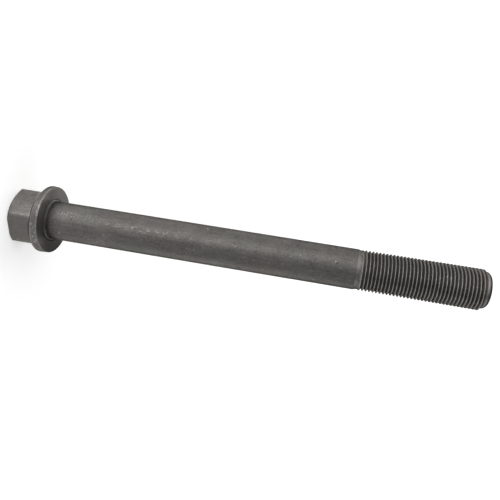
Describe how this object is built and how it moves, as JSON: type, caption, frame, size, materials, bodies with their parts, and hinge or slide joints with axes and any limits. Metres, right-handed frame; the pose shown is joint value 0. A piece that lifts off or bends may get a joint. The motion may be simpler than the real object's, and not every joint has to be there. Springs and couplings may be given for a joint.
{
  "type": "flange bolt",
  "caption": "Long hexagon-head bolt with an integral flange, a plain round shank and a fine right-hand thread that ends in a chamfered tip.",
  "frame": {"origin": "centre of the head's end face, which the bolt stands on", "axes": "+Z along the bolt's axis from the head to the threaded tip; a corner of the hexagon points along +X and two flats face +Y and -Y"},
  "size_m": [0.031, 0.031, 0.211],
  "materials": {
    "phosphated_steel": "dark warm grey phosphate or black-oxide coating on forged and rolled steel, satin, lightly scuffed"
  },
  "bodies": {
    "root": {"flange_bolt": "phosphated_steel"}
  },
  "joints": []
}
